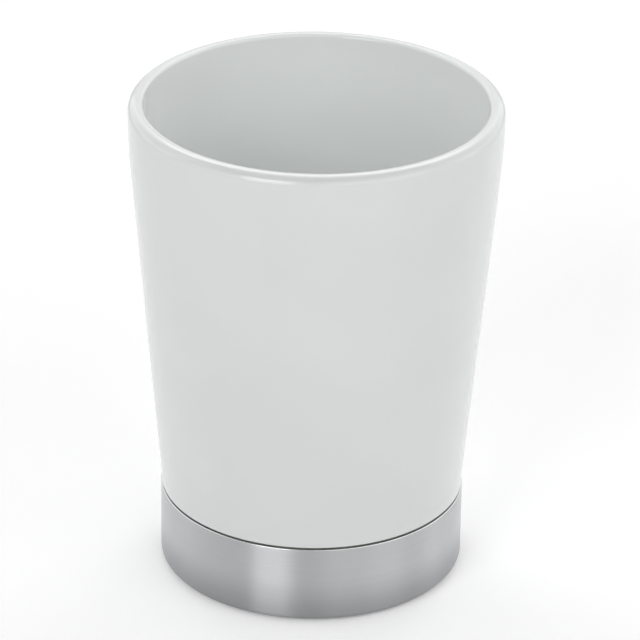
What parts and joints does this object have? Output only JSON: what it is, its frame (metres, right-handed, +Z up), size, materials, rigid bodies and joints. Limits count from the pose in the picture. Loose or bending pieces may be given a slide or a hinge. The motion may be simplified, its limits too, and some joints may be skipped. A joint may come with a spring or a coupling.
{
  "type": "bathroom tumbler",
  "caption": "Tapered round bathroom tumbler: a glazed white ceramic cup bonded into a brushed steel base band, standing on a foam foot pad.",
  "frame": {"origin": "on the surface that the tumbler stands on, under the middle of the foot pad", "axes": "+Z up along the tumbler's axis of revolution, from the foot pad to the lip; the part is round, so +X and +Y are any two level directions at right angles"},
  "size_m": [0.08, 0.08, 0.108],
  "materials": {
    "glazed_ceramic": "gloss",
    "brushed_steel": "satin",
    "adhesive": "satin",
    "pad_foam": "matte",
    "tape": "matte"
  },
  "bodies": {
    "root": {"ceramic_cup": "glazed_ceramic", "steel_base": "brushed_steel", "wall_bond": "adhesive", "floor_bond": "adhesive", "foot_pad": "pad_foam", "pad_tape": "tape"}
  },
  "joints": []
}
